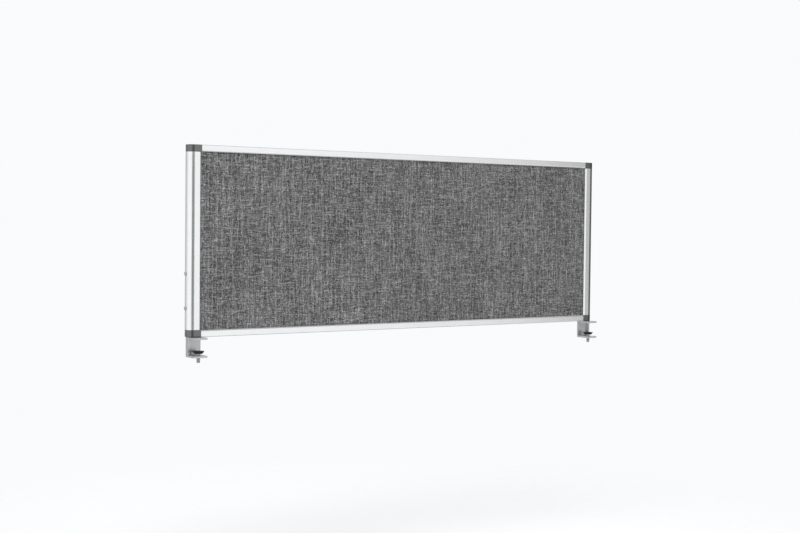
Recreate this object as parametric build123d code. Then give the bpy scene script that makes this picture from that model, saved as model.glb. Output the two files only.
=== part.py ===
from build123d import *
from math import sqrt
import os

# Acoustic divider screen on two desk clamps, in millimetres.
# X runs along the screen, -Y faces the user and the desk, +Z is up.
# The origin is midway between the clamps, in the panel's middle plane, level with the desk top.

# overall frame
screen_width = 1400
screen_height = 500
frame_thickness = 34
post_width = 36
rail_height = 19

# aluminium sections
extrusion_wall = 1.8
lip_thickness = 5.2
lip_round = 4.8
channel_depth = 9
edge_round = 1.5

# plastic corners
corner_reach = 1.2
spigot_length = 30
spigot_wall = 2.5
spigot_fit = 0.15

# panel
panel_edge_clearance = 0.5
panel_side_clearance = 0.3
core_thickness = 6
fabric_thickness = 0.8
fabric_wrap = 10

# steel clamp bracket
plate_thickness = 5
bracket_width = 40
bracket_depth = 48
bracket_back = 4.5
bracket_inset = 3.5
throat_height = 42
flange_depth = 13
bend_round = 3
plate_corner_round = 3
tongue_clearance = 0.4
tongue_above_screw = 12

# screws through the post's nose
lower_screw_height = 75
screw_spacing = 90
post_screw_diameter = 6
post_screw_length = 10
post_screw_head_diameter = 11.5
post_screw_head_height = 3.3
post_screw_rim = 0.7
post_screw_socket = 4
post_screw_socket_depth = 1.8
post_screw_hole_clearance = 0.2
thread_clearance = 0.05
seat_depth = 0.6
seat_margin = 0.3

# jack screw and its swivelling pad
jack_screw_diameter = 10
jack_screw_from_edge = 21.5
jack_screw_from_back = 30.5
jack_screw_below_plate = 13.5
jack_screw_fit = 0.05
jack_screw_chamfer = 1
jack_socket = 5
jack_socket_depth = 5
pad_above_plate = 12
pad_height = 7
pad_diameter = 30
pad_foot_diameter = 21
pad_rim = 2.2
pad_edge_round = 0.6
journal_diameter = 7
journal_depth = 4.5
journal_fit = 0.05
journal_end_gap = 0.2
groove_depth = 0.8
groove_height = 1.2

# cuts run past the face they open by this much
overrun = 1

# places worked out from the sizes above, for the left end
nose_radius = frame_thickness / 2
outer_x = -screen_width / 2
nose_x = outer_x + nose_radius
post_inner_x = outer_x + post_width
channel_floor_x = post_inner_x - channel_depth
chamber_inner_x = channel_floor_x - extrusion_wall
chamber_radius = nose_radius - extrusion_wall
channel_width = frame_thickness - 2 * lip_thickness
rail_end_x = post_inner_x + corner_reach

screen_bottom = plate_thickness
screen_top = screen_bottom + screen_height
middle_height = (screen_bottom + screen_top) / 2
post_bottom = screen_bottom + rail_height
post_length = screen_height - 2 * rail_height
channel_floor_z = post_bottom - channel_depth
rail_chamber_height = rail_height - channel_depth - 2 * extrusion_wall

panel_width = -2 * (channel_floor_x + panel_edge_clearance)
panel_height = 2 * (middle_height - channel_floor_z - panel_edge_clearance)
panel_thickness = channel_width - 2 * panel_side_clearance
filling_width = panel_width - 2 * fabric_thickness
filling_height = panel_height - 2 * fabric_thickness
pad_layer_thickness = (panel_thickness - core_thickness) / 2 - fabric_thickness

bracket_outer_x = outer_x + bracket_inset
bracket_front = bracket_back - bracket_depth
web_front = bracket_back - plate_thickness
bottom_plate_top = -throat_height
bracket_bottom = bottom_plate_top - plate_thickness
jack_x = bracket_outer_x + jack_screw_from_edge
jack_y = bracket_back - jack_screw_from_back
tongue_front = tongue_clearance - sqrt(chamber_radius**2 - (nose_radius - bracket_inset) ** 2)
post_screw_heights = [screen_bottom + lower_screw_height + n * screw_spacing for n in range(2)]
tongue_top = post_screw_heights[-1] + tongue_above_screw
seat_x = outer_x + seat_depth
pad_top = bottom_plate_top + pad_above_plate
pad_bottom = pad_top - pad_height


def block(x_range, y_range, z_range):
    """A box from its three pairs of limits."""
    spans = (x_range, y_range, z_range)
    sizes = [high - low for low, high in spans]
    middles = [(high + low) / 2 for low, high in spans]
    return Pos(*middles) * Box(*sizes)


def x_cylinder(radius, start, end, y=0, z=0):
    """A cylinder along +X from start to end."""
    return Plane(origin=(start, y, z), z_dir=(1, 0, 0)) * extrude(Circle(radius), end - start)


def z_cylinder(radius, start, end, x=0, y=0):
    """A cylinder along +Z from start to end."""
    return Pos(x, y, start) * extrude(Circle(radius), end - start)


def hexagon(across_flats):
    """A socket's outline, turned so that no corner lies on a revolved piece's seam."""
    return Rot(0, 0, 15) * RegularPolygon(across_flats / 2, 6, major_radius=False)


def mirrored(shape):
    """The right-hand copy of a left-hand piece."""
    return mirror(shape, about=Plane.YZ)


def upside_down(shape):
    """The top copy of a piece of the bottom of the frame."""
    return mirror(shape, about=Plane.XY.offset(middle_height))


def nose_section(radius, inner_x):
    """The post's outline: a half round outside and square inside, on the ground plane."""
    flat = inner_x - nose_x
    outer_half = Pos(nose_x - radius / 2, 0) * Rectangle(radius, 2 * radius)
    round_half = outer_half & Pos(nose_x, 0) * Circle(radius)
    square_half = Pos(nose_x + flat / 2, 0) * Rectangle(flat, 2 * radius)
    return round_half + square_half


def post():
    section = nose_section(nose_radius, post_inner_x)
    section = fillet(section.vertices().group_by(Axis.X)[-1], lip_round)
    section -= nose_section(chamber_radius, chamber_inner_x)
    channel_middle = (channel_floor_x + post_inner_x) / 2
    section -= Pos(channel_middle, 0) * Rectangle(channel_depth, channel_width)
    body = Pos(0, 0, post_bottom) * extrude(section, post_length)
    hole_radius = post_screw_diameter / 2 + post_screw_hole_clearance
    seat_radius = post_screw_head_diameter / 2 + seat_margin
    for height in post_screw_heights:
        body -= x_cylinder(hole_radius, outer_x - overrun, nose_x, z=height)
        body -= x_cylinder(seat_radius, outer_x - overrun, seat_x, z=height)
    return body


def rail():
    """The bottom rail: a closed chamber below and the panel's channel above."""
    corner_limits = (rail_end_x, -rail_end_x)
    width_limits = (-frame_thickness / 2, frame_thickness / 2)
    chamber_bottom = screen_bottom + extrusion_wall
    chamber_half = frame_thickness / 2 - extrusion_wall
    body = block(corner_limits, width_limits, (screen_bottom, post_bottom))
    body = fillet(body.edges().filter_by(Axis.X).group_by(Axis.Z)[0], edge_round)
    body = fillet(body.edges().filter_by(Axis.X).group_by(Axis.Z)[-1], lip_round)
    long_cut = (rail_end_x - overrun, -rail_end_x + overrun)
    chamber_limits = (chamber_bottom, chamber_bottom + rail_chamber_height)
    body -= block(long_cut, (-chamber_half, chamber_half), chamber_limits)
    channel_half = channel_width / 2
    body -= block(long_cut, (-channel_half, channel_half), (channel_floor_z, post_bottom + overrun))
    return body


def corner():
    """A bottom corner without its tongue slot: body, panel pocket and two spigots."""
    body = Pos(0, 0, screen_bottom) * extrude(nose_section(nose_radius, rail_end_x), rail_height)
    bottom_edges = body.edges().group_by(Axis.Z)[0]
    inner_edge = bottom_edges.sort_by(Axis.X)[-1]
    body = fillet([edge for edge in bottom_edges if edge != inner_edge], edge_round)
    channel_half = channel_width / 2
    pocket_x = (channel_floor_x, rail_end_x + overrun)
    pocket_z = (channel_floor_z, post_bottom + overrun)
    body -= block(pocket_x, (-channel_half, channel_half), pocket_z)

    spigot_radius = chamber_radius - spigot_fit
    spigot_inner_x = chamber_inner_x - spigot_fit
    section = nose_section(spigot_radius, spigot_inner_x)
    section -= nose_section(spigot_radius - spigot_wall, spigot_inner_x - spigot_wall)
    body += Pos(0, 0, post_bottom) * extrude(section, spigot_length)

    chamber_bottom = screen_bottom + extrusion_wall
    spigot_z = (chamber_bottom + spigot_fit, chamber_bottom + rail_chamber_height - spigot_fit)
    body += block((rail_end_x, rail_end_x + spigot_length), (-spigot_radius, spigot_radius), spigot_z)
    return body


def bottom_corner():
    """The corner with the slot that lets the bracket's tongue into the post."""
    gap = 2 * spigot_fit
    slot_x = (bracket_outer_x - gap, bracket_outer_x + plate_thickness + gap)
    slot_y = (tongue_front - gap, bracket_back + gap)
    body = corner() - block(slot_x, slot_y, (screen_bottom - overrun, post_bottom + overrun))
    nose_cut = (outer_x, bracket_outer_x + plate_thickness + gap)
    return body - block(nose_cut, slot_y, (post_bottom, post_bottom + spigot_length + overrun))


def panel_layer(width, height, y_range):
    return block((-width / 2, width / 2), y_range, (middle_height - height / 2, middle_height + height / 2))


def front_fabric():
    """The cloth's flat face with its edges turned back round the filling."""
    face = -panel_thickness / 2
    skin = panel_layer(panel_width, panel_height, (face, face + fabric_wrap))
    hollow = (face + fabric_thickness, face + fabric_wrap + overrun)
    return skin - panel_layer(filling_width, filling_height, hollow)


def front_pad():
    near_core = -core_thickness / 2
    return panel_layer(filling_width, filling_height, (near_core - pad_layer_thickness, near_core))


def core_board():
    return panel_layer(filling_width, filling_height, (-core_thickness / 2, core_thickness / 2))


def clamp_bracket():
    """A C of bent plate open to the desk, an outer flange, and its tongue up into the post."""
    inner_round = bend_round / 2
    full_height = plate_thickness - bracket_bottom
    outline = Pos((bracket_front + bracket_back) / 2, (plate_thickness + bracket_bottom) / 2)
    outer = outline * Rectangle(bracket_depth, full_height)
    outer = fillet(outer.vertices().group_by(Axis.X)[-1], bend_round)
    throat_depth = web_front - bracket_front
    throat = Pos(web_front - throat_depth / 2, -throat_height / 2) * Rectangle(throat_depth, throat_height)
    throat = fillet(throat.vertices().group_by(Axis.X)[-1], inner_round)
    side_plane = Plane(origin=(bracket_outer_x, 0, 0), x_dir=(0, 1, 0), z_dir=(1, 0, 0))
    body = side_plane * extrude(outer - throat, bracket_width)
    front_edges = body.edges().filter_by(Axis.Z).group_by(Axis.Y)[0]
    body = fillet(front_edges, plate_corner_round)

    plate_x = (bracket_outer_x, bracket_outer_x + plate_thickness)
    flange_y = (bracket_back - flange_depth, bracket_back - bend_round)
    body += block(plate_x, flange_y, (bottom_plate_top - plate_thickness / 2, plate_thickness / 2))
    body += block(plate_x, (tongue_front, bracket_back), (0, tongue_top))

    for height in post_screw_heights:
        hole_radius = post_screw_diameter / 2 + thread_clearance
        body -= x_cylinder(hole_radius, plate_x[0] - overrun, plate_x[1] + overrun, z=height)
    hole_radius = jack_screw_diameter / 2 + jack_screw_fit
    return body - z_cylinder(
        hole_radius, bracket_bottom - overrun, bottom_plate_top + overrun, jack_x, jack_y
    )


def post_screw(height):
    """A button-head screw lying along +X, its head outside the nose."""
    head_radius = post_screw_head_diameter / 2
    shank_radius = post_screw_diameter / 2
    crown_flat = post_screw_socket / 2
    rim = (-post_screw_rim, head_radius)
    crown_edge = (-post_screw_head_height, crown_flat)
    dome = RadiusArc(rim, crown_edge, -head_radius)
    outline = Polyline(crown_edge, (-post_screw_head_height, 0), (post_screw_length, 0))
    outline += Polyline((post_screw_length, 0), (post_screw_length, shank_radius), (0, shank_radius))
    outline += Polyline((0, shank_radius), (0, head_radius), rim)
    screw = revolve(make_face(outline + dome), Axis.X)
    socket_plane = Plane(origin=(-post_screw_head_height, 0, 0), z_dir=(1, 0, 0))
    screw -= socket_plane * extrude(hexagon(post_screw_socket), post_screw_socket_depth)
    return Pos(seat_x, 0, height) * screw


def post_screws():
    return Compound(children=[post_screw(height) for height in post_screw_heights])


def jack_screw():
    """The clamp screw: threaded shank, and the grooved journal that the pad turns on."""
    shank_radius = jack_screw_diameter / 2
    journal_radius = journal_diameter / 2
    shank_bottom = bracket_bottom - jack_screw_below_plate
    shank_top = pad_bottom - journal_end_gap
    shank = z_cylinder(shank_radius, shank_bottom, shank_top)
    shank = chamfer(shank.edges().group_by(Axis.Z)[0], jack_screw_chamfer)
    journal_top = pad_bottom + journal_depth - journal_end_gap
    screw = shank + z_cylinder(journal_radius, shank_top, journal_top)
    groove_z = (pad_bottom + journal_top - groove_height) / 2
    groove = z_cylinder(journal_radius + overrun, groove_z, groove_z + groove_height)
    groove -= z_cylinder(journal_radius - groove_depth, groove_z, groove_z + groove_height)
    screw -= groove
    screw -= Pos(0, 0, shank_bottom) * extrude(hexagon(jack_socket), jack_socket_depth)
    return Pos(jack_x, jack_y, 0) * screw


def clamp_pad():
    """The pad: a flat rim over a tapered foot, with a ring in its bore that snaps in the groove."""
    rim_radius = pad_diameter / 2
    foot_radius = pad_foot_diameter / 2
    outline = Polyline(
        (0, pad_bottom),
        (foot_radius, pad_bottom),
        (rim_radius, pad_top - pad_rim),
        (rim_radius, pad_top),
        (0, pad_top),
        (0, pad_bottom),
    )
    body = revolve(Plane.XZ * make_face(outline), Axis.Z)
    body = fillet(body.edges().group_by(Axis.Z)[-1], pad_edge_round)
    bore_radius = journal_diameter / 2 + journal_fit
    body -= z_cylinder(bore_radius, pad_bottom - overrun, pad_bottom + journal_depth)
    journal_top = pad_bottom + journal_depth - journal_end_gap
    groove_z = (pad_bottom + journal_top - groove_height) / 2
    ring_gap = journal_fit + spigot_fit
    ring = z_cylinder(bore_radius + overrun, groove_z + ring_gap, groove_z + groove_height - ring_gap)
    ring -= z_cylinder(bore_radius - groove_depth, groove_z, groove_z + groove_height)
    return Pos(jack_x, jack_y, 0) * (body + ring)


left_pieces = {
    "post": post(),
    "corner_bottom": bottom_corner(),
    "corner_top": upside_down(corner()),
    "clamp_bracket": clamp_bracket(),
    "post_screws": post_screws(),
    "jack_screw": jack_screw(),
    "clamp_pad": clamp_pad(),
}

parts = {
    "bottom_rail": rail(),
    "top_rail": upside_down(rail()),
    "core_board": core_board(),
    "front_acoustic_pad": front_pad(),
    "back_acoustic_pad": mirror(front_pad(), about=Plane.XZ),
    "front_fabric": front_fabric(),
    "back_fabric": mirror(front_fabric(), about=Plane.XZ),
}
for name, piece in left_pieces.items():
    is_corner = name.startswith("corner")
    parts[f"{name}_left" if is_corner else f"left_{name}"] = piece
    parts[f"{name}_right" if is_corner else f"right_{name}"] = mirrored(piece)

os.makedirs("parts", exist_ok=True)
for name, piece in parts.items():
    export_step(piece, f"parts/{name}.step")
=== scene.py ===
import math

import bmesh
import bpy
from mathutils import Matrix, Vector


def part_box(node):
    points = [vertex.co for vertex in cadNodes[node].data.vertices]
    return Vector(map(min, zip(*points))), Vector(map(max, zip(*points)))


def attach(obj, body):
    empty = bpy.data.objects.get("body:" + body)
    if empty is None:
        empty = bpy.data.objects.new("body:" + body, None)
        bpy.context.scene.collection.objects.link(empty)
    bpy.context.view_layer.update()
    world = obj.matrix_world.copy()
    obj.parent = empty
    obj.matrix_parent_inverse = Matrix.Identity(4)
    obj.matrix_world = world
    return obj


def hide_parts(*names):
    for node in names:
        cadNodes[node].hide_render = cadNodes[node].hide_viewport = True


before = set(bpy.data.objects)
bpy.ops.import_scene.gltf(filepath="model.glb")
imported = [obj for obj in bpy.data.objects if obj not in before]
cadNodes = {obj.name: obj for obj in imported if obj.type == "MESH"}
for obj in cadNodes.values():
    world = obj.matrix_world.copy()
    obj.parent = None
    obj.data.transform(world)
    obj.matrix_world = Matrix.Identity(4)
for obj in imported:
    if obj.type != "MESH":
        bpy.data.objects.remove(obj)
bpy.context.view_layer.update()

mm = 0.001
print("frame loaded:", len(cadNodes), "nodes")


def addNode(tree, kind, inputs=None, **settings):
    node = tree.nodes.new(kind)
    for key, value in settings.items():
        setattr(node, key, value)
    for key, value in (inputs or {}).items():
        if isinstance(value, bpy.types.NodeSocket):
            tree.links.new(value, node.inputs[key])
        else:
            node.inputs[key].default_value = value
    return node


def calc(tree, operation, first, second=0.0, clamp=False):
    return addNode(tree, "ShaderNodeMath", {0: first, 1: second},
                   operation=operation, use_clamp=clamp).outputs[0]


def addShare(tree, total, part, share):  # total + part * share
    return calc(tree, "ADD", total, calc(tree, "MULTIPLY", part, share))


def remap(tree, value, fromLow, fromHigh, toLow, toHigh):  # clamped at both ends
    return addNode(tree, "ShaderNodeMapRange", {
        "Value": value, "From Min": fromLow, "From Max": fromHigh,
        "To Min": toLow, "To Max": toHigh}).outputs[0]


def noise(tree, place, scale, detail=2.0, roughness=0.5, distortion=0.0):
    return addNode(tree, "ShaderNodeTexNoise", {
        "Vector": place, "Scale": scale, "Detail": detail, "Roughness": roughness,
        "Distortion": distortion}).outputs[0]


def centredNoise(tree, place, scale, detail=2.0, roughness=0.5):  # above and below zero
    return calc(tree, "SUBTRACT", noise(tree, place, scale, detail, roughness), 0.5)


def stretched(tree, place, x, y, z):  # coordinates in patterns per metre along each axis
    return addNode(tree, "ShaderNodeMapping", {"Vector": place, "Scale": (x, y, z)}).outputs[0]


def grey(level):
    return (level, level, level, 1)


def blendColours(tree, share, first, second):
    return addNode(tree, "ShaderNodeMix", {0: share, 6: first, 7: second}, data_type="RGBA").outputs[2]


def newMaterial(name, sockets):
    material = bpy.data.materials.new(name)
    material.use_nodes = True
    shader = material.node_tree.nodes["Principled BSDF"]
    for key, value in sockets.items():
        shader.inputs[key].default_value = value
    return material, material.node_tree, shader


def objectPlace(tree):
    return tree.nodes.new("ShaderNodeTexCoord").outputs["Object"]


def bumpFrom(tree, shader, height, strength, depth):
    bump = addNode(tree, "ShaderNodeBump", {"Height": height, "Strength": strength, "Distance": depth})
    tree.links.new(bump.outputs[0], shader.inputs["Normal"])


noiseSpan = (0.3, 0.7)  # where nearly all of a noise's values lie


def roughnessFrom(tree, shader, pattern, ends):
    tree.links.new(remap(tree, pattern, *noiseSpan, *ends), shader.inputs["Roughness"])


# in every look a pattern is a noise's scale, detail, roughness and distortion; a further tone is
# (pattern, the span of it that brings the tone in, its largest share, tone), the roughness is
# (pattern, its two ends) and the relief is (pattern, strength, depth in metres)
cornerLook = {  # moulded plastic: dark, satin, finely grained
    "sockets": {"Specular IOR Level": 1.0, "Coat Weight": 1.0, "Coat IOR": 2.0, "Coat Roughness": 0.1},
    "tone": (0.012, 0.012, 0.013, 1),
    "furtherTones": [((60.0, 3.0), noiseSpan, 1.0, (0.019, 0.019, 0.020, 1))],
    "roughness": ((60.0, 3.0), (0.30, 0.38)),
    "relief": ((3200.0, 2.0), 0.25, 0.00003),
}
bracketLook = {  # silver grey powder coat on bent steel plate
    "sockets": {"Metallic": 0.75},
    "tone": (0.63, 0.635, 0.64, 1),
    "furtherTones": [((5200.0, 1.0), (0.50, 0.66), 0.7, (0.72, 0.725, 0.73, 1)),
                     ((45.0, 3.0), (0.35, 0.7), 0.25, (0.56, 0.563, 0.57, 1))],
    "roughness": ((1400.0, 2.0), (0.27, 0.36)),
    "relief": ((1400.0, 2.0), 0.22, 0.00006),
}
zincLook = {  # bright zinc on the screws, a little cloudy
    "sockets": {"Metallic": 1.0},
    "tone": (0.78, 0.785, 0.80, 1),
    "furtherTones": [((420.0, 4.0, 0.6), (0.35, 0.65), 1.0, (0.64, 0.645, 0.655, 1))],
    "roughness": ((420.0, 4.0, 0.6), (0.26, 0.42)),
    "relief": ((2600.0, 2.0), 0.12, 0.00003),
}
rubberLook = {  # black moulded rubber, matt, a little dusty
    "sockets": {"Specular IOR Level": 0.45},
    "tone": (0.016, 0.016, 0.017, 1),
    "furtherTones": [((240.0, 4.0, 0.6), (0.45, 0.75), 1.0, (0.034, 0.034, 0.034, 1))],
    "roughness": ((240.0, 4.0, 0.6), (0.46, 0.62)),
    "relief": ((3600.0, 2.0), 0.3, 0.00004),
}
feltLook = {  # pressed polyester felt of the acoustic pads
    "sockets": {"Roughness": 0.96, "Specular IOR Level": 0.15, "Sheen Weight": 0.2, "Sheen Roughness": 0.6},
    "tone": (0.26, 0.26, 0.265, 1),
    "furtherTones": [((900.0, 4.0, 0.5, 1.6), (0.35, 0.65), 1.0, (0.44, 0.44, 0.445, 1)),
                     ((70.0, 4.0, 0.6), noiseSpan, 0.4, (0.30, 0.30, 0.31, 1))],
    "relief": ((900.0, 4.0, 0.5, 1.6), 0.6, 0.0005),
}
boardLook = {  # raw medium density board
    "sockets": {"Roughness": 0.78, "Specular IOR Level": 0.3},
    "tone": (0.36, 0.27, 0.185, 1),
    "furtherTones": [((1500.0, 4.0, 0.7), (0.35, 0.65), 1.0, (0.50, 0.40, 0.29, 1)),
                     ((40.0, 4.0), noiseSpan, 0.3, (0.33, 0.24, 0.16, 1))],
    "relief": ((1500.0, 4.0, 0.7), 0.25, 0.0001),
}


def finishFrom(name, look):
    material, tree, shader = newMaterial(name, look["sockets"])
    place = objectPlace(tree)
    tone = look["tone"]
    for pattern, span, share, furtherTone in look["furtherTones"]:
        cover = remap(tree, noise(tree, place, *pattern), *span, 0.0, share)
        tone = blendColours(tree, cover, tone, furtherTone)
    tree.links.new(tone, shader.inputs["Base Color"])
    if "roughness" in look:
        pattern, ends = look["roughness"]
        roughnessFrom(tree, shader, noise(tree, place, *pattern), ends)
    pattern, strength, depth = look["relief"]
    bumpFrom(tree, shader, noise(tree, place, *pattern), strength, depth)
    return material


aluminium = {  # a silver extrusion, seen mostly by what it reflects
    "tone": (0.975, 0.977, 0.980, 1), "shade": (0.945, 0.948, 0.955, 1), "clouds": (26.0, 3.0),
    "perMetreAcross": 2600, "perMetreAlong": 4, "bandWidth": 9,  # a band is so many lines wide
    "lines": (1.0, 3.0, 0.65), "lineShare": 0.7, "bands": (1.0, 1.0), "bandShare": 0.3,
    "roughness": (0.17, 0.23), "reliefStrength": 0.35, "lineDepth": 0.00002,
}


def anodisedAluminium(name, along):
    # satin anodised extrusion; the die's drawing lines run along the profile
    material, tree, shader = newMaterial(name, {"Metallic": 1.0})
    place = objectPlace(tree)
    fine, coarse = aluminium["perMetreAcross"], aluminium["perMetreAlong"]
    scales = {"x": (coarse, fine, fine), "z": (fine, fine, coarse)}[along]
    lines = noise(tree, stretched(tree, place, *scales), *aluminium["lines"])
    bandScales = [scale / aluminium["bandWidth"] for scale in scales]
    bands = noise(tree, stretched(tree, place, *bandScales), *aluminium["bands"])
    clouds = remap(tree, noise(tree, place, *aluminium["clouds"]), *noiseSpan, 0.0, 1.0)
    tone = blendColours(tree, clouds, aluminium["tone"], aluminium["shade"])
    tree.links.new(tone, shader.inputs["Base Color"])
    drawn = calc(tree, "MULTIPLY", lines, aluminium["lineShare"])
    drawn = addShare(tree, drawn, bands, aluminium["bandShare"])
    roughnessFrom(tree, shader, drawn, aluminium["roughness"])
    bumpFrom(tree, shader, drawn, aluminium["reliefStrength"], aluminium["lineDepth"])
    return material


weave = {
    "sockets": {"Roughness": 0.92, "Specular IOR Level": 0.2, "Sheen Weight": 0.12, "Sheen Roughness": 0.55},
    "threadPitch": 0.0018,  # one warp or weft thread
    "dark": 0.036, "pale": 0.85,  # how little and how much light a yarn returns
    "warpRun": 0.110, "weftRun": 0.045,  # how far a yarn keeps its shade
    "warpRunShare": 0.48, "weftRunShare": 0.41, "runSpan": (0.46, 0.64),
    "warpDash": 0.013, "weftDash": 0.0095,  # the light and dark dashes along it
    "dashShare": 0.50, "dashSpan": (0.44, 0.62),
    "yarnNoise": (1.5, 0.6),  # a noise's detail and roughness
    "yarnStep": 7.31,  # how far apart two neighbours lie in that noise
    "flecksPerThread": 0.5, "fleckNoise": (1.5, 0.7), "fleckShare": 0.95,
    "cloudSize": 0.20, "cloudNoise": (2.0, 0.6), "cloudShare": 0.20,
    "fibresPerMetre": 2400, "fibreShare": 0.35, "fibreRelief": 0.4,
    "shadeSpan": (-0.1, 1.1), "contrast": 1.6,  # a sum of shades turned into dark to pale
    "paintedGapShade": 0.30, "paintedGapSpan": (0.1, 0.7),  # painted shade down between the threads: how dark it gets, and at what heights
    "wander": 2.4, "wanderRun": 0.016,  # how many threads' width a thread strays, and over what length
    "swelling": 0.55, "swellsPerThread": 0.6,  # how unevenly thick the yarns are
    "roundness": 0.6, "waviness": 0.4,
    "threadDepth": 0.0004, "reliefStrength": 0.5,
}


def heatherCloth():
    # heathered plain weave in its own UV map, whose unit is a metre of cloth
    material, tree, shader = newMaterial("heatherCloth", weave["sockets"])
    place = tree.nodes.new("ShaderNodeTexCoord").outputs["UV"]
    parts = addNode(tree, "ShaderNodeSeparateXYZ", {0: place})
    u, v = parts.outputs[0], parts.outputs[1]
    pitch = weave["threadPitch"]

    def threadCount(across, seed):
        shifted = addNode(tree, "ShaderNodeVectorMath", {0: place, 1: (seed, seed, seed)}, operation="ADD")
        strayed = centredNoise(tree, shifted.outputs[0], 1 / weave["wanderRun"], detail=1.0)
        return addShare(tree, calc(tree, "DIVIDE", across, pitch), strayed, weave["wander"])

    warpCount, weftCount = threadCount(u, seed=3.7), threadCount(v, seed=9.2)
    warp, weft = calc(tree, "FLOOR", warpCount), calc(tree, "FLOOR", weftCount)

    def yarnHeight(acrossCount, alongCount, thread, waviness):  # round, and waving over and under the others
        rounding = calc(tree, "SINE", calc(tree, "MULTIPLY", calc(tree, "FRACT", acrossCount), math.pi))
        wave = calc(tree, "SINE", calc(tree, "MULTIPLY", calc(tree, "ADD", alongCount, thread), math.pi))
        return addShare(tree, calc(tree, "MULTIPLY", rounding, weave["roundness"]), wave, waviness)

    warpHeight = yarnHeight(warpCount, weftCount, warp, weave["waviness"])
    weftHeight = yarnHeight(weftCount, warpCount, weft, -weave["waviness"])
    height = calc(tree, "MAXIMUM", warpHeight, weftHeight)
    uneven = centredNoise(tree, place, weave["swellsPerThread"] / pitch, detail=1.0)
    warpOnTop = calc(tree, "GREATER_THAN", addShare(tree, warpHeight, uneven, weave["swelling"]), weftHeight)

    def shadeAlong(thread, run, length, span, seed):  # each yarn has its own shade, which changes along it
        apart = calc(tree, "MULTIPLY", thread, weave["yarnStep"])
        along = calc(tree, "DIVIDE", run, length)
        spot = addNode(tree, "ShaderNodeCombineXYZ", {0: apart, 1: along, 2: seed})
        return remap(tree, noise(tree, spot.outputs[0], 1.0, *weave["yarnNoise"]), *span, 0.0, 1.0)

    def yarnShade(kind, thread, run, seed):
        shade = shadeAlong(thread, run, weave[kind + "Run"], weave["runSpan"], seed)
        shade = calc(tree, "MULTIPLY", shade, weave[kind + "RunShare"])
        dashes = shadeAlong(thread, run, weave[kind + "Dash"], weave["dashSpan"], seed + 4)
        return addShare(tree, shade, dashes, weave["dashShare"])

    warpShade, weftShade = yarnShade("warp", warp, v, seed=1.7), yarnShade("weft", weft, u, seed=8.3)
    shade = addNode(tree, "ShaderNodeMix", {0: warpOnTop, 2: weftShade, 3: warpShade}).outputs[0]
    fleck = centredNoise(tree, place, weave["flecksPerThread"] / pitch, *weave["fleckNoise"])
    cloud = centredNoise(tree, place, 1 / weave["cloudSize"], *weave["cloudNoise"])
    fibres = weave["fibresPerMetre"]
    fibre = centredNoise(tree, stretched(tree, place, fibres, fibres, 1), 1.0)
    for part, share in ((fleck, "fleckShare"), (cloud, "cloudShare"), (fibre, "fibreShare")):
        shade = addShare(tree, shade, part, weave[share])
    level = calc(tree, "POWER", remap(tree, shade, *weave["shadeSpan"], 0.0, 1.0), weave["contrast"])
    # painted shade: the base colour darkens down between the threads, by the yarns' height
    level = calc(tree, "MULTIPLY", level, remap(tree, height, *weave["paintedGapSpan"], weave["paintedGapShade"], 1.0))
    tone = blendColours(tree, level, grey(weave["dark"]), grey(weave["pale"]))
    tree.links.new(tone, shader.inputs["Base Color"])
    relief = addShare(tree, height, fibre, weave["fibreRelief"])
    bumpFrom(tree, shader, relief, weave["reliefStrength"], weave["threadDepth"])
    return material


zinc, rubber = finishFrom("zincPlated", zincLook), finishFrom("padRubber", rubberLook)
cloth, felt = heatherCloth(), finishFrom("feltFilling", feltLook)
finishes = {  # by a part of the CAD node's name; the first that fits counts
    "corner": finishFrom("cornerPlastic", cornerLook),
    "clamp_bracket": finishFrom("paintedBracket", bracketLook),
    "jack_screw": zinc, "post_screws": zinc, "clamp_pad": rubber, "fabric": cloth, "acoustic_pad": felt,
    "core_board": finishFrom("fibreBoard", boardLook),
    "post": anodisedAluminium("uprightAluminium", "z"),
    "rail": anodisedAluminium("levelAluminium", "x"),
}
for nodeName, cadPiece in cadNodes.items():
    for materialSlot in cadPiece.material_slots:
        materialSlot.material = next(finish for part, finish in finishes.items() if part in nodeName)
print("materials made and set on the CAD nodes")


def pieceFrom(name, mesh, finish, sharpFrom=None):  # with sharp edges from that angle on, in degrees
    mesh.materials.clear()
    mesh.materials.append(finish)
    mesh.shade_smooth()
    if sharpFrom is not None:
        mesh.set_sharp_from_angle(angle=math.radians(sharpFrom))
    mesh.name = name
    piece = bpy.data.objects.new(name, mesh)
    bpy.context.scene.collection.objects.link(piece)
    return piece


def newTree(name, sizes, counts=()):  # a Geometry Nodes tree with a named input for each size and count
    tree = bpy.data.node_groups.new(name, "GeometryNodeTree")
    tree.interface.new_socket("Geometry", in_out="INPUT", socket_type="NodeSocketGeometry")
    for label in sizes:
        tree.interface.new_socket(label, in_out="INPUT", socket_type="NodeSocketFloat")
    for label in counts:
        tree.interface.new_socket(label, in_out="INPUT", socket_type="NodeSocketInt")
    tree.interface.new_socket("Geometry", in_out="OUTPUT", socket_type="NodeSocketGeometry")
    return tree, tree.nodes.new("NodeGroupInput").outputs


def endTree(tree, geometry, finish):
    real = addNode(tree, "GeometryNodeRealizeInstances", {0: geometry}).outputs[0]
    painted = addNode(tree, "GeometryNodeSetMaterial", {"Geometry": real, "Material": finish}).outputs[0]
    tree.links.new(painted, tree.nodes.new("NodeGroupOutput").inputs[0])


def aboutAxis(tree, given):  # a point's x and y from the given axis, its height and its radius
    point = tree.nodes.new("GeometryNodeInputPosition").outputs[0]
    position = addNode(tree, "ShaderNodeSeparateXYZ", {0: point})
    x = calc(tree, "SUBTRACT", position.outputs[0], given["Axis X"])
    y = calc(tree, "SUBTRACT", position.outputs[1], given["Axis Y"])
    radius = calc(tree, "SQRT", calc(tree, "ADD", calc(tree, "MULTIPLY", x, x), calc(tree, "MULTIPLY", y, y)))
    return x, y, position.outputs[2], radius


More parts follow.
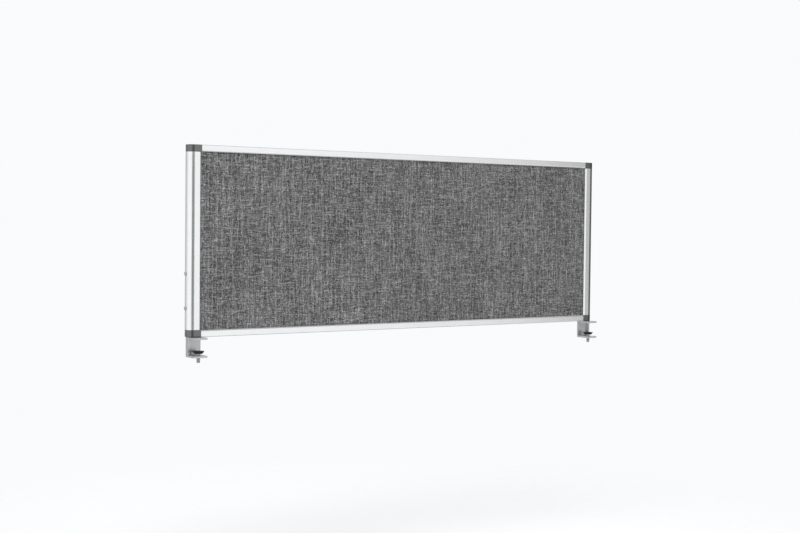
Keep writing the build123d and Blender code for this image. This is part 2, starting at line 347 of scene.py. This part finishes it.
def runTree(mesh, tree, values):  # the tree's result as a plain mesh
    carrier = bpy.data.objects.new("carrier", mesh)
    bpy.context.scene.collection.objects.link(carrier)
    modifier = carrier.modifiers.new("tree", "NODES")
    modifier.node_group = tree
    for item in tree.interface.items_tree:
        if item.in_out == "INPUT" and item.name in values:
            modifier[item.identifier] = values[item.name]
    ready = carrier.evaluated_get(bpy.context.evaluated_depsgraph_get())
    result = bpy.data.meshes.new_from_object(ready)
    bpy.data.objects.remove(carrier)
    bpy.data.meshes.remove(mesh)
    return result


def turned(rows, segments, place):
    # a solid turned about its axis from rows of (radius, height, hexagon), where hexagon is
    # 0 for round and 1 for six-sided
    shape = bmesh.new()
    loops = []
    for radius, height, hexagon in rows:
        if radius == 0:
            loops.append([shape.verts.new(place(0, 0, height))])
            continue
        loop = []
        for k in range(segments):
            angle = 2 * math.pi * k / segments
            fromFlat = (angle + math.pi / 6) % (math.pi / 3) - math.pi / 6
            reach = radius * (1 - hexagon) + radius * hexagon / math.cos(math.pi / 6 - abs(fromFlat))
            loop.append(shape.verts.new(place(reach * math.cos(angle), reach * math.sin(angle), height)))
        loops.append(loop)
    for lower, upper in zip(loops, loops[1:]):
        for k in range(segments):
            after = (k + 1) % segments
            if len(lower) == 1:
                shape.faces.new((lower[0], upper[k], upper[after]))
            elif len(upper) == 1:
                shape.faces.new((lower[k], upper[0], lower[after]))
            else:
                shape.faces.new((lower[k], upper[k], upper[after], lower[after]))
    bmesh.ops.recalc_face_normals(shape, faces=shape.faces)
    mesh = bpy.data.meshes.new("turned")
    shape.to_mesh(mesh)
    shape.free()
    return mesh


sharpAngle = 38  # in degrees, between a turned piece's faces


def axisOf(node):
    low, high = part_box(node)
    return (low.x + high.x) / 2, (low.y + high.y) / 2


def uprightAt(axisX, axisY):  # puts a turned solid about an upright axis
    return lambda x, y, height: (axisX + x, axisY + y, height)


def quarterAngles(count):
    return [math.pi / 2 * k / count for k in range(count + 1)]


panel = {
    "crown": 0.9 * mm,  # how far the cloth stands proud in the middle of the frame
    "crownReach": 22 * mm,  # how far from the frame's lips it takes to get there
    "rippleShare": 0.11, "padShare": 0.85,  # of the crown
    "lipX": 664 * mm, "lipLow": 24 * mm, "lipHigh": 486 * mm,  # the window that the frame leaves open
    "spacing": 9 * mm, "edgeSteps": 4, "cornerSteps": 3, "weldReach": 0.02 * mm, "shortestEdge": 0.01 * mm,
    "clothThickness": 0.8 * mm, "clothEdge": 1.2 * mm,
    "padEdge": 2.6 * mm, "padBackEdge": 0.8 * mm, "padSharpAngle": 40,
}


def ripple(x, z):  # slow waves that cross, in radians per metre
    return (math.sin(23 * x + 1.1) * math.sin(31 * z + 0.4) + 0.6 * math.sin(61 * x - 17 * z)
            + 0.4 * math.sin(9 * x + 83 * z + 2.0))


def crownAt(x, z):
    fromSide = panel["lipX"] - abs(x)
    fromLevel = min(z - panel["lipLow"], panel["lipHigh"] - z)
    if fromSide <= 0 or fromLevel <= 0:
        return 0.0
    rise = (1 - math.exp(-fromSide / panel["crownReach"])) * (1 - math.exp(-fromLevel / panel["crownReach"]))
    return panel["crown"] * rise * (1 + panel["rippleShare"] * ripple(x, z))


def coverForm(node, profile, crownShare, backed):
    # a crowned face; its edge follows the profile, which is steps of (outward, inward, length along it)
    low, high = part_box(node)
    facing = -1 if low.y < 0 else 1
    faceY = max(abs(low.y), abs(high.y))
    widest = max(step[0] for step in profile)
    shape = bmesh.new()
    flat = {}  # each corner's place on the flat cut, in metres

    def spread(start, end):
        count = round((end - start) / panel["spacing"])
        return [start + (end - start) * k / count for k in range(count + 1)]

    def addVert(x, inward, z, u, v):
        vert = shape.verts.new((x, facing * (faceY - inward), z))
        flat[vert] = (u, v)
        return vert

    def addFace(*verts):
        shape.faces.new(verts if facing < 0 else verts[::-1])

    xs, zs = spread(low.x + widest, high.x - widest), spread(low.z + widest, high.z - widest)
    cells = [(i, j) for i in range(len(xs) - 1) for j in range(len(zs) - 1)]
    face = [[addVert(x, -crownShare * crownAt(x, z), z, x, z) for z in zs] for x in xs]
    for i, j in cells:
        addFace(face[i][j], face[i + 1][j], face[i + 1][j + 1], face[i][j + 1])

    border = []  # places round the face, with the way out; every side ends in a quarter turn
    for places, dx, dz in (
            ([(x, zs[0]) for x in xs], 0, -1), ([(xs[-1], z) for z in zs], 1, 0),
            ([(x, zs[-1]) for x in reversed(xs)], 0, 1), ([(xs[0], z) for z in reversed(zs)], -1, 0)):
        border += [(x, z, dx, dz) for x, z in places]
        for quarter in quarterAngles(panel["cornerSteps"]):
            a = math.atan2(dz, dx) + quarter
            border.append((*places[-1], math.cos(a), math.sin(a)))
    loops = []
    for outward, inward, run in profile:
        loops.append([addVert(x + dx * outward, inward, z + dz * outward, x + dx * run, z + dz * run)
                      for x, z, dx, dz in border])
    for inner, outer in zip(loops, loops[1:]):
        for k in range(len(border)):
            after = (k + 1) % len(border)
            addFace(inner[k], outer[k], outer[after], inner[after])
    if backed:  # a flat face behind, on the same lines
        rear = [[addVert(x, profile[-1][1], z, x, z) for z in zs] for x in xs]
        for i, j in cells:
            addFace(rear[i][j + 1], rear[i + 1][j + 1], rear[i + 1][j], rear[i][j])

    uvLayer = shape.loops.layers.uv.new("clothMetres")
    for polygon in shape.faces:
        for corner in polygon.loops:
            corner[uvLayer].uv = flat[corner.vert]
    bmesh.ops.remove_doubles(shape, verts=shape.verts, dist=panel["weldReach"])
    bmesh.ops.dissolve_degenerate(shape, edges=shape.edges, dist=panel["shortestEdge"])
    mesh = bpy.data.meshes.new(node)
    shape.to_mesh(mesh)
    shape.free()
    return mesh


def sideProfile(edge, end, count=3):
    # a quarter round from the face to the side, then straight back to the end
    steps = [(edge * math.sin(a), edge * (1 - math.cos(a)), edge * a)
             for a in quarterAngles(panel["edgeSteps"])]
    for k in range(1, count + 1):
        inward = edge + (end - edge) * k / count
        steps.append((edge, inward, edge * math.pi / 2 + inward - edge))
    return steps


def padProfile(thickness, count=3):
    edge, back = panel["padEdge"], panel["padBackEdge"]
    steps = sideProfile(edge, thickness - back)
    for a in quarterAngles(count)[1:]:
        steps.append((edge - back * (1 - math.cos(a)), thickness - back + back * math.sin(a),
                      steps[-1][2] + back * math.pi / 2 / count))
    steps.append((0, thickness, steps[-1][2] + edge))
    return steps


for side in ("front", "back"):
    node = side + "_acoustic_pad"
    low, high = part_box(node)
    mesh = coverForm(node, padProfile(high.y - low.y), panel["padShare"], True)
    acousticPad = pieceFrom(side + "Filling", mesh, felt, panel["padSharpAngle"])
    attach(acousticPad, "screen")
    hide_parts(node)

    node = side + "_fabric"
    low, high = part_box(node)
    turnBack = high.y - low.y
    mesh = coverForm(node, sideProfile(panel["clothEdge"], turnBack), 1.0, False)
    cover = pieceFrom(side + "Cloth", mesh, cloth)
    skin = cover.modifiers.new("thickness", "SOLIDIFY")
    skin.thickness, skin.offset = panel["clothThickness"], -1
    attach(cover, "screen")
    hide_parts(node)
print("acoustic pads and cloth covers made")


jack = {
    "segments": 48, "Pitch": 1.5 * mm, "Depth": 0.88 * mm, "Crest": 5.0 * mm,
    "flank": (0.06, 0.44),  # a thread's slope, in pitches from the crest's middle
    "chamfer": 1.0 * mm, "plainEnd": 1.6 * mm, "belowPad": 0.2 * mm, "shoulder": 0.2 * mm,
    "socket": 5.0 * mm, "socketDepth": 5.0 * mm, "drillPoint": 1.2 * mm, "socketMouth": 0.35 * mm,
    "socketFloor": 0.96, "mouthHexagon": 0.4,  # shares of the socket's width and of its six sides
    "journal": 3.5 * mm, "journalEdge": 0.3 * mm, "grooveDepth": 0.8 * mm, "grooveHeight": 1.2 * mm,
    "rowStep": 0.15 * mm, "leastStep": 0.01 * mm, "socketStep": 0.05 * mm,
}


def threadTree():
    # cuts a right-hand thread into whatever stands further out than its roots
    tree, given = newTree("screwThread", ("Pitch", "Depth", "Crest", "Axis X", "Axis Y", "Thread Top"))
    x, y, z, radius = aboutAxis(tree, given)
    turn = calc(tree, "DIVIDE", calc(tree, "ARCTAN2", y, x), 2 * math.pi)
    phase = calc(tree, "SUBTRACT", calc(tree, "DIVIDE", z, given["Pitch"]), turn)
    wave = remap(tree, calc(tree, "PINGPONG", phase, 0.5), *jack["flank"], 0.0, 1.0)
    below = calc(tree, "SUBTRACT", given["Thread Top"], z)
    runOut = calc(tree, "DIVIDE", below, given["Pitch"], clamp=True)  # over the last turn
    cut = calc(tree, "MULTIPLY", calc(tree, "MULTIPLY", given["Depth"], wave), runOut)
    allowed = calc(tree, "MINIMUM", radius, calc(tree, "SUBTRACT", given["Crest"], cut))
    share = calc(tree, "DIVIDE", allowed, calc(tree, "MAXIMUM", radius, 1e-6))  # the axis has no radius
    moved = addNode(tree, "ShaderNodeCombineXYZ", {
        0: calc(tree, "ADD", calc(tree, "MULTIPLY", x, share), given["Axis X"]),
        1: calc(tree, "ADD", calc(tree, "MULTIPLY", y, share), given["Axis Y"]), 2: z}).outputs[0]
    shaped = addNode(tree, "GeometryNodeSetPosition", {"Geometry": given["Geometry"], "Position": moved})
    endTree(tree, shaped.outputs[0], zinc)
    return tree


def jackBlank(node, axisX, axisY):
    low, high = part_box(node)
    crest, chamfer, journal = jack["Crest"], jack["chamfer"], jack["journal"]
    socket, socketTop, mouth = jack["socket"] / 2, low.z + jack["socketDepth"], jack["socketMouth"]
    rows = [(0, socketTop + jack["drillPoint"], 0), (socket * jack["socketFloor"], socketTop, 0),
            (socket, socketTop - jack["socketStep"], 1), (socket, low.z + mouth, 1),
            (socket + mouth, low.z, jack["mouthHexagon"]), (crest - chamfer, low.z, 0)]
    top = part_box(node.replace("jack_screw", "clamp_pad"))[0].z - jack["belowPad"]
    z = low.z
    while z < top - jack["rowStep"] / 2:
        rows.append((min(crest, crest - chamfer + (z - low.z)), z + jack["leastStep"], 0))
        z += jack["rowStep"]
    shoulder, edge, groove = jack["shoulder"], jack["journalEdge"], journal - jack["grooveDepth"]
    middle, half = (top + high.z) / 2, jack["grooveHeight"] / 2
    rows += [(crest, top - shoulder, 0), (crest - shoulder, top, 0), (journal, top, 0),
             (journal, middle - half, 0), (groove, middle - half, 0),
             (groove, middle + half, 0), (journal, middle + half, 0),
             (journal, high.z - edge, 0), (journal - edge, high.z, 0), (0, high.z, 0)]
    return turned(rows, jack["segments"], uprightAt(axisX, axisY)), top


threadCutter = threadTree()
for side in ("left", "right"):
    node = side + "_jack_screw"
    axisX, axisY = axisOf(node)
    blank, top = jackBlank(node, axisX, axisY)
    threaded = runTree(blank, threadCutter, {
        **jack, "Axis X": axisX, "Axis Y": axisY, "Thread Top": top - jack["plainEnd"]})
    screw = pieceFrom(side + "JackScrew", threaded, zinc, sharpAngle)
    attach(screw, side + "_jack")
    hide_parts(node)
print("jack screws threaded")


clampPad = {
    "segments": 72, "rim": 15.0 * mm, "foot": 10.5 * mm, "rimHeight": 2.2 * mm,
    "edge": 0.6 * mm, "edgeSteps": 4, "bore": 3.55 * mm, "boreDepth": 4.5 * mm, "boreMouth": 0.3 * mm,
    "footEdge": 0.4 * mm, "footEdgeHeight": 0.3 * mm, "rimEdge": 0.15 * mm, "rimEdgeHeight": 0.1 * mm,
    "Ring Pitch": 1.9 * mm, "Ring Depth": 0.5 * mm, "First Ring": 3.0 * mm, "Last Ring": 13.4 * mm,
    "flank": (0.22, 0.34),  # a groove's slope, in pitches from the ring's middle
    "faceInset": 0.2 * mm, "faceMiddle": 1.0 * mm, "rowStep": 0.14 * mm, "leastStep": 0.01 * mm,
}


def gripTree():
    # sinks round grooves into the top face, so that level rings are left
    tree, given = newTree("gripRings", (
        "Ring Pitch", "Ring Depth", "First Ring", "Last Ring", "Axis X", "Axis Y", "Face Height"))
    x, y, z, radius = aboutAxis(tree, given)
    phase = calc(tree, "DIVIDE", calc(tree, "SUBTRACT", radius, given["First Ring"]), given["Ring Pitch"])
    wave = remap(tree, calc(tree, "PINGPONG", phase, 0.5), *clampPad["flank"], 0.0, 1.0)
    within = calc(tree, "MULTIPLY", calc(tree, "GREATER_THAN", radius, given["First Ring"]),
                  calc(tree, "LESS_THAN", radius, given["Last Ring"]))
    faceFrom = calc(tree, "SUBTRACT", given["Face Height"], clampPad["leastStep"])
    within = calc(tree, "MULTIPLY", within, calc(tree, "GREATER_THAN", z, faceFrom))
    drop = calc(tree, "MULTIPLY", calc(tree, "MULTIPLY", wave, given["Ring Depth"]), within)
    offset = addNode(tree, "ShaderNodeCombineXYZ", {2: calc(tree, "MULTIPLY", drop, -1.0)}).outputs[0]
    shaped = addNode(tree, "GeometryNodeSetPosition", {"Geometry": given["Geometry"], "Offset": offset})
    endTree(tree, shaped.outputs[0], rubber)
    return tree


def padBlank(node, axisX, axisY):
    low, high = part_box(node)
    rim, foot, edge, bore = clampPad["rim"], clampPad["foot"], clampPad["edge"], clampPad["bore"]
    boreTop, mouth = low.z + clampPad["boreDepth"], clampPad["boreMouth"]
    rimLow, rimEdge = high.z - clampPad["rimHeight"], clampPad["rimEdge"]
    rows = [(0, boreTop, 0), (bore, boreTop, 0), (bore, low.z + mouth, 0), (bore + mouth, low.z, 0),
            (foot - clampPad["footEdge"], low.z, 0), (foot, low.z + clampPad["footEdgeHeight"], 0),
            (rim - rimEdge, rimLow - clampPad["rimEdgeHeight"], 0), (rim, rimLow + rimEdge, 0)]
    rows += [(rim - edge * (1 - math.cos(a)), high.z - edge * (1 - math.sin(a)), 0)
             for a in quarterAngles(clampPad["edgeSteps"])]
    radius = rim - edge - clampPad["faceInset"]
    while radius > clampPad["faceMiddle"]:
        rows.append((radius, high.z, 0))
        radius -= clampPad["rowStep"]
    rows.append((0, high.z, 0))
    return turned(rows, clampPad["segments"], uprightAt(axisX, axisY)), high.z


gripRings = gripTree()
for side in ("left", "right"):
    node = side + "_clamp_pad"
    axisX, axisY = axisOf(node)
    blank, faceHeight = padBlank(node, axisX, axisY)
    ringed = runTree(blank, gripRings, {
        **clampPad, "Axis X": axisX, "Axis Y": axisY, "Face Height": faceHeight})
    swivelPad = pieceFrom(side + "ClampPad", ringed, rubber, sharpAngle)
    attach(swivelPad, side + "_swivel_pad")
    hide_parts(node)
print("clamp pads made")


noseScrew = {
    "segments": 48, "head": 5.75 * mm, "headHeight": 3.3 * mm, "rim": 0.7 * mm, "edge": 0.15 * mm,
    "crown": 2.3 * mm, "domeInset": 0.1 * mm, "domeSteps": 10, "domeFullness": 0.9,
    "socket": 4.0 * mm, "socketDepth": 1.8 * mm, "drillPoint": 0.8 * mm, "socketMouth": 0.12 * mm,
    "socketFloor": 0.95, "mouthHexagon": 0.25,  # shares of the socket's width and of its six sides
    "socketStep": 0.05 * mm, "shank": 3.0 * mm, "shankEnd": 0.6 * mm, "length": 10.0 * mm,
    "Count": 2, "Spacing": 90 * mm,
}


def noseScrewTree():
    # sets the screw it is given up the post, one above another
    tree, given = newTree("noseScrews", ("Spacing",), ("Count",))
    step = addNode(tree, "ShaderNodeCombineXYZ", {2: given["Spacing"]}).outputs[0]
    line = addNode(tree, "GeometryNodeMeshLine", {"Count": given["Count"], "Offset": step}, mode="OFFSET")
    screws = addNode(tree, "GeometryNodeInstanceOnPoints", {
        "Points": line.outputs[0], "Instance": given["Geometry"]})
    endTree(tree, screws.outputs[0], zinc)
    return tree


def noseScrewBlank(seatX, outward, height):
    head, rim, edge, tall = noseScrew["head"], noseScrew["rim"], noseScrew["edge"], noseScrew["headHeight"]
    socket, crown, bottom = noseScrew["socket"] / 2, noseScrew["crown"], tall - noseScrew["socketDepth"]
    shank, shankEnd, length = noseScrew["shank"], noseScrew["shankEnd"], noseScrew["length"]
    rows = [(0, bottom - noseScrew["drillPoint"], 0), (socket * noseScrew["socketFloor"], bottom, 0),
            (socket, bottom + noseScrew["socketStep"], 1), (socket, tall - noseScrew["socketMouth"], 1),
            (crown, tall, noseScrew["mouthHexagon"])]
    domeReach = head - noseScrew["domeInset"] - crown
    for a in quarterAngles(noseScrew["domeSteps"])[1:]:  # the domed head, down to its rim
        rows.append((crown + domeReach * math.sin(a),
                     rim + (tall - rim) * math.cos(a) ** noseScrew["domeFullness"], 0))
    rows += [(head, rim - edge, 0), (head, edge, 0), (head - edge, 0, 0), (shank, 0, 0),
             (shank, shankEnd - length, 0), (shank - shankEnd, -length, 0), (0, -length, 0)]
    return turned(rows, noseScrew["segments"], lambda x, y, h: (seatX + outward * h, outward * x, height + y))


screwRow = noseScrewTree()
for side, outward in (("left", -1), ("right", 1)):
    node = side + "_post_screws"
    low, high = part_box(node)
    seatX = low.x + noseScrew["headHeight"] if outward < 0 else high.x - noseScrew["headHeight"]
    blank = noseScrewBlank(seatX, outward, low.z + noseScrew["head"])
    nosePair = pieceFrom(side + "NoseScrews", runTree(blank, screwRow, noseScrew), zinc, sharpAngle)
    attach(nosePair, "screen")
    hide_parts(node)
print("nose screws set")


studio = {
    "background": (0.947, 0.965, 0.973, 1), "softLight": 0.44,
    "floorHeight": -0.75, "floorReach": 2.6, "floorFade": (0.9, 2.4), "floorGrain": (30.0, 4.0),
    "floorTone": (0.80, 0.81, 0.815, 1), "floorPale": (0.82, 0.83, 0.835, 1), "floorLift": 0.36,
    "wallX": 4.5, "wallY": 4.5, "ceilingHeight": 3.2, "aboveFloor": 0.01, "rampEnds": 0.1,
    "gap": 0.25, "ceiling": 0.46, "over": 0.60, "desk": 0.62, "under": 0.14, "back": 0.50,
    "rightSteps": ((-8.9, 0.95), (-5.25, 0.80), (-4.25, 0.53), (-3.4, 0.10)),  # place in Y, then level
    "leftSteps": ((0.1, 0.93), (0.7, 0.85), (2.6, 0.66), (4.5, 0.54)),
}
floorZ, ceilingZ = studio["floorHeight"], studio["ceilingHeight"]
cardZ = floorZ + studio["aboveFloor"]


def emptyTree(owner):
    owner.use_nodes = True
    owner.node_tree.nodes.clear()
    return owner.node_tree


def seenDirectly(tree):  # 1 where the camera or a shiny or clear surface sees it, 0 where it only gives light
    path = tree.nodes.new("ShaderNodeLightPath").outputs
    seen = calc(tree, "MAXIMUM", path["Is Camera Ray"], path["Is Glossy Ray"])
    return calc(tree, "MAXIMUM", seen, path["Is Transmission Ray"])


def glowMaterial(name, level):
    material = bpy.data.materials.new(name)
    tree = emptyTree(material)
    glow = addNode(tree, "ShaderNodeEmission", {"Color": grey(level)})
    tree.links.new(glow.outputs[0], tree.nodes.new("ShaderNodeOutputMaterial").inputs[0])
    return material


def rampGlow(name, steps):  # its level changes along Y
    material = glowMaterial(name, 1.0)
    tree = material.node_tree
    first, last = steps[0][0] - studio["rampEnds"], steps[-1][0] + studio["rampEnds"]
    depth = addNode(tree, "ShaderNodeSeparateXYZ", {0: objectPlace(tree)}).outputs[1]
    ramp = addNode(tree, "ShaderNodeValToRGB", {0: remap(tree, depth, first, last, 0.0, 1.0)})
    stops = ramp.color_ramp.elements
    for spot, level in steps:
        stops.new((spot - first) / (last - first)).color = grey(level)
    stops.remove(stops[-1])
    stops.remove(stops[0])
    tree.links.new(ramp.outputs[0], tree.nodes["Emission"].inputs["Color"])
    return material


def stagePlane(name, corners, material):
    mesh = bpy.data.meshes.new(name)
    mesh.from_pydata(corners, [], [(0, 1, 2, 3)])
    mesh.materials.append(material)
    plane = bpy.data.objects.new(name, mesh)
    bpy.context.scene.collection.objects.link(plane)
    return plane


def reflectionCard(name, corners, material):  # seen only in shiny surfaces
    card = stagePlane(name, corners, material)
    card.visible_camera = card.visible_diffuse = card.visible_transmission = card.visible_shadow = False


def uprightCard(name, start, end, material, low=floorZ, high=ceilingZ):  # between two places in plan
    reflectionCard(name, [(*start, low), (*end, low), (*end, high), (*start, high)], material)


def levelCard(name, xEnds, yEnds, z, material):
    (left, right), (near, far) = xEnds, yEnds
    reflectionCard(name, [(left, near, z), (right, near, z), (right, far, z), (left, far, z)], material)


world = bpy.data.worlds.new("studio")
bpy.context.scene.world = world
tree = emptyTree(world)
soft = addNode(tree, "ShaderNodeBackground", {"Color": grey(studio["softLight"])})
backdrop = addNode(tree, "ShaderNodeBackground", {"Color": studio["background"]})
mixed = addNode(tree, "ShaderNodeMixShader", {
    0: seenDirectly(tree), 1: soft.outputs[0], 2: backdrop.outputs[0]})
tree.links.new(mixed.outputs[0], tree.nodes.new("ShaderNodeOutputWorld").inputs[0])

# the floor, at a desk's height below the clamps, fades into the backdrop
floorMaterial = bpy.data.materials.new("paleFloor")
tree = emptyTree(floorMaterial)
place = stretched(tree, objectPlace(tree), 1, 1, 0)
distance = addNode(tree, "ShaderNodeVectorMath", {0: place}, operation="LENGTH").outputs["Value"]
fadeFrom, fadeTo = studio["floorFade"]
fade = addNode(tree, "ShaderNodeMapRange", {"Value": distance, "From Min": fadeFrom, "From Max": fadeTo},
               interpolation_type="SMOOTHSTEP").outputs[0]
grain = remap(tree, noise(tree, objectPlace(tree), *studio["floorGrain"]), *noiseSpan, 0.0, 1.0)
tone = blendColours(tree, grain, studio["floorTone"], studio["floorPale"])
pale = addNode(tree, "ShaderNodeBsdfDiffuse", {"Color": tone})
strength = calc(tree, "MULTIPLY", seenDirectly(tree), studio["floorLift"])
lift = addNode(tree, "ShaderNodeEmission", {"Color": studio["background"], "Strength": strength})
lifted = addNode(tree, "ShaderNodeAddShader", {0: pale.outputs[0], 1: lift.outputs[0]})
clear = addNode(tree, "ShaderNodeBsdfTransparent")
mixed = addNode(tree, "ShaderNodeMixShader", {0: fade, 1: lifted.outputs[0], 2: clear.outputs[0]})
tree.links.new(mixed.outputs[0], tree.nodes.new("ShaderNodeOutputMaterial").inputs[0])
reach = studio["floorReach"]
floorCorners = [(-reach, -reach), (reach, -reach), (reach, reach), (-reach, reach)]
stagePlane("floor", [(*corner, floorZ) for corner in floorCorners], floorMaterial)

# the gap makes the dark line down the left post; the cards at the sides shade the frame's round ends and,
# on the right, darken its flat faces from left to right
wallX, wallY = studio["wallX"], studio["wallY"]
uprightCard("gapCard", (-0.945, -0.55), (-0.535, -0.55), glowMaterial("gapGrey", studio["gap"]), -0.06, 0.55)
uprightCard("leftCard", (-wallX, 0.1), (-wallX, wallY), rampGlow("leftGrey", studio["leftSteps"]))
uprightCard("backCard", (-wallX, wallY), (1.6, wallY), glowMaterial("backGrey", studio["back"]))
uprightCard("rightCard", (wallX, -9.0), (wallX, 3.5), rampGlow("rightGrey", studio["rightSteps"]))
levelCard("ceilingCard", (-5, 5), (-14, -1), ceilingZ, glowMaterial("ceilingGrey", studio["ceiling"]))
levelCard("overCard", (-5, 5), (-1, 2), ceilingZ, glowMaterial("overGrey", studio["over"]))
levelCard("deskCard", (-3, 3), (-4, -0.45), cardZ, glowMaterial("deskGrey", studio["desk"]))
levelCard("underCard", (-3, 3), (-0.45, 0.8), cardZ, glowMaterial("underGrey", studio["under"]))

lamps = {  # place, size and power
    "keyLamp": ((-2.2, -2.5, 3.1), (2.4, 2.0), 84),
    "fillLamp": ((2.6, -2.4, 2.6), (2.0, 2.0), 22),
    "backLamp": ((0.6, 3.2, 2.6), (2.6, 1.8), 40),
}
lampTarget = Vector((0, 0, 0.25))
for name, (place, size, power) in lamps.items():
    light = bpy.data.lights.new(name, "AREA")
    light.shape, light.size, light.size_y, light.energy = "RECTANGLE", size[0], size[1], power
    lamp = bpy.data.objects.new(name, light)
    bpy.context.scene.collection.objects.link(lamp)
    lamp.location = place
    lamp.rotation_euler = (lampTarget - Vector(place)).to_track_quat("-Z", "Y").to_euler()
    lamp.visible_glossy = False  # the white backdrop and the cards make the reflections
print("studio set")


camera = {
    "place": (-2.1902, -3.1801, 0.3008), "yaw": -34.215, "pitch": -1.757, "roll": -0.593,
    "lens": 60.21, "sensor": 36.0, "clip": (0.05, 100),
}
lens = bpy.data.cameras.new("photoCamera")
lens.lens, lens.sensor_width = camera["lens"], camera["sensor"]
lens.clip_start, lens.clip_end = camera["clip"]
photoCamera = bpy.data.objects.new("photoCamera", lens)
bpy.context.scene.collection.objects.link(photoCamera)
turn = Matrix.Rotation(math.radians(camera["yaw"]), 4, "Z")
turn = turn @ Matrix.Rotation(math.radians(camera["pitch"]), 4, "X")
turn = turn @ Matrix.Rotation(math.radians(camera["roll"]), 4, "Y")
ahead = Matrix.Rotation(math.radians(90), 4, "X")  # a camera looks straight down until it is turned
photoCamera.matrix_world = Matrix.Translation(camera["place"]) @ turn @ ahead
bpy.context.scene.camera = photoCamera
bpy.context.scene.view_settings.view_transform = "Standard"
print("camera set")
